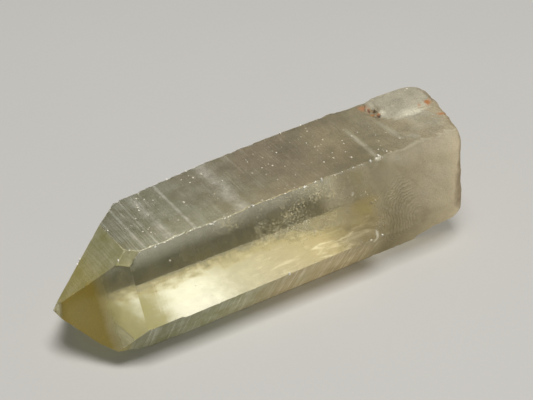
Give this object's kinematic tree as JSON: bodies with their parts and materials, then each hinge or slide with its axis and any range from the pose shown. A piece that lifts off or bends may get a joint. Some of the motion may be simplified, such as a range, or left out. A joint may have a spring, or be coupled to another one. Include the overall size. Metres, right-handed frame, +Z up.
{
  "type": "citrine crystal",
  "caption": "Clear pale-yellow quartz crystal lying on its side: a flattened six-sided prism with a natural point, stepped faces and a cloudy broken base with a fused lump. Display stone.",
  "frame": {"origin": "middle of the crystal's bounding box in plan, on the surface that its lower prism face lies on", "axes": "+Z up; the crystal's long axis along X with the point at -X and the broken base at +X; -Y is the near side in the picture"},
  "size_m": [0.0602, 0.0212, 0.0152],
  "materials": {
    "citrine": "glassy prism and point faces with fine growth lines, frosted and cloudy at the broken base"
  },
  "bodies": {
    "root": {"citrine_crystal": "citrine"}
  },
  "joints": []
}
